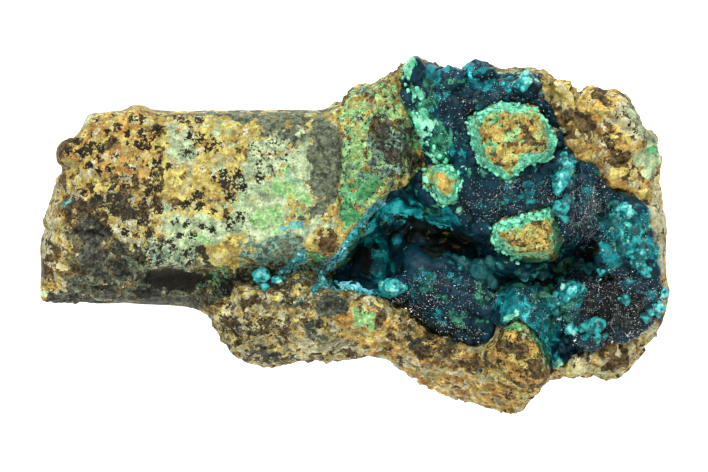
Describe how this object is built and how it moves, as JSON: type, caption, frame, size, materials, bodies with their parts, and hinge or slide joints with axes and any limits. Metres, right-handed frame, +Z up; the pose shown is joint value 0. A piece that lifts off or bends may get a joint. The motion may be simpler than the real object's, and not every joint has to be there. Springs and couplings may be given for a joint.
{
  "type": "chrysocolla specimen",
  "caption": "Natural mineral hand specimen: limonite-stained host rock with a broken-open hollow, lined by a botryoidal blue-green chrysocolla crust, lying on a flat joint face.",
  "frame": {"origin": "middle of the specimen's box, on the joint face that it lies on", "axes": "+X along the specimen from the slab to the hollow, +Y to the upper edge of the open side, +Z up out of the open side"},
  "size_m": [0.105, 0.06, 0.0358],
  "materials": {
    "host_rock": "rough broken rock with limonite, dendrite and copper-green stains",
    "chrysocolla": "waxy to glassy botryoidal crust with drusy quartz"
  },
  "bodies": {
    "root": {"matrix": "host_rock", "chrysocolla_crust": "chrysocolla"}
  },
  "joints": []
}
